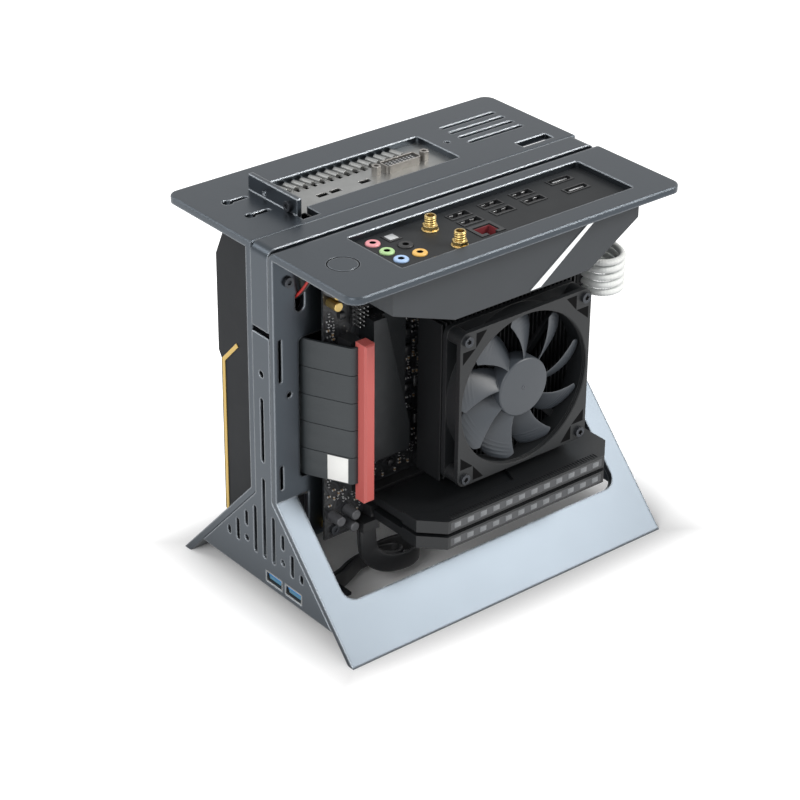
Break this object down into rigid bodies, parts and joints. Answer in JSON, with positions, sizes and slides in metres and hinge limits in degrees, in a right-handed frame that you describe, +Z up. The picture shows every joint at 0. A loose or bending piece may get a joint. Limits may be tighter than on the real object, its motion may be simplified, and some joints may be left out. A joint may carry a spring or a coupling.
{
  "type": "open air test bench",
  "caption": "Small open computer bench: two folded metal panels back to back carry a mainboard with cooler, fan and memory on one side and a graphics card on the other.",
  "frame": {"origin": "centre of the bounding box's bottom, on the plane that the legs' lower edges stand on", "axes": "+X along the bench away from the front data sockets, -Y out of the mainboard, +Y out of the graphics card, +Z up"},
  "size_m": [0.224, 0.16, 0.226],
  "materials": {
    "panel_grey": "satin anodised dark grey",
    "steel": "plated sheet steel",
    "steel_dark": "blackened steel",
    "black_plastic": "fine matte moulding",
    "socket_blue": "blue contact tongue",
    "board_black": "black solder mask",
    "brass": "turned brass",
    "shield_black": "matte black paint",
    "jack_pink": "pink moulding",
    "jack_green": "green moulding",
    "jack_blue": "light blue moulding",
    "jack_orange": "orange moulding",
    "gold": "gold plating",
    "cover_grey": "matte grey moulding",
    "stripe_silver": "bright brushed strip",
    "sink_black": "black anodised",
    "light_bar": "milky diffuser",
    "can_grey": "sleeved can",
    "fan_grey": "matte dark grey moulding",
    "riser_red": "matte red moulding",
    "ribbon_grey": "woven grey tape",
    "fin_aluminium": "bare fins",
    "shroud_black": "matte black moulding",
    "stripe_yellow": "yellow lacquer",
    "sleeve_white": "white braided sleeve",
    "lead_red": "insulated lead",
    "cable_black": "flat black cable"
  },
  "bodies": {
    "bench": {"antenna_posts": "gold", "board_cover": "cover_grey", "board_headers": "black_plastic", "board_heatsink": "sink_black", "board_power_plug": "black_plastic", "board_screws": "steel_dark", "board_side_panel": "panel_grey", "board_standoffs": "brass", "button_leads": "lead_red", "button_switch": "black_plastic", "cable_coupler": "black_plastic", "capacitors_dark": "can_grey", "capacitors_gold": "gold", "card_bracket": "steel", "card_heatsink": "fin_aluminium", "card_pcb": "board_black", "card_shroud": "shroud_black", "card_side_panel": "panel_grey", "card_slot": "black_plastic", "card_stripe": "stripe_yellow", "card_video_connector": "steel", "cooler_fins": "sink_black", "cover_stripe": "stripe_silver", "fan_frame": "fan_grey", "fan_screws": "steel_dark", "front_cable": "cable_black", "front_data_sockets": "steel", "front_end_plate": "panel_grey", "front_socket_board": "board_black", "front_socket_tongues": "socket_blue", "io_shield": "shield_black", "jack_black": "black_plastic", "jack_block": "black_plastic", "jack_blue": "jack_blue", "jack_green": "jack_green", "jack_orange": "jack_orange", "jack_pink": "jack_pink", "mainboard": "board_black", "memory_cards": "board_black", "memory_lights": "light_bar", "memory_sockets": "black_plastic", "memory_spreader_lower": "sink_black", "memory_spreader_upper": "sink_black", "network_socket": "steel", "optical_socket": "black_plastic", "panel_screws": "steel_dark", "power_cables": "sleeve_white", "processor_socket": "steel", "rear_data_sockets": "steel", "rear_end_plate": "panel_grey", "riser_plug": "riser_red", "riser_ribbons": "ribbon_grey", "riser_socket": "black_plastic", "spine_cover": "panel_grey", "spine_spacers": "steel", "video_sockets": "steel"},
    "cpu_fan": {"fan_rotor": "fan_grey"},
    "card_fan_a": {"card_fan_upper": "shroud_black"},
    "card_fan_b": {"card_fan_lower": "shroud_black"},
    "button": {"power_button": "panel_grey"}
  },
  "joints": [
    {"name": "cpu_fan_spin", "type": "hinge", "parent": "bench", "child": "cpu_fan", "pos_m": [0.0151, -0.06, 0.1201], "axis": [0, -1, 0], "continuous": true},
    {"name": "card_fan_upper_spin", "type": "hinge", "parent": "bench", "child": "card_fan_a", "pos_m": [-0.0295, 0.048, 0.16133], "axis": [0, 1, 0], "continuous": true},
    {"name": "card_fan_lower_spin", "type": "hinge", "parent": "bench", "child": "card_fan_b", "pos_m": [-0.0295, 0.048, 0.07058], "axis": [0, 1, 0], "continuous": true},
    {"name": "power_button_press", "type": "slide", "parent": "bench", "child": "button", "axis": [0, 0, -1], "range_m": [0, 0.0015], "stiffness_N_per_m": 600, "springref_m": -0.0008}
  ]
}
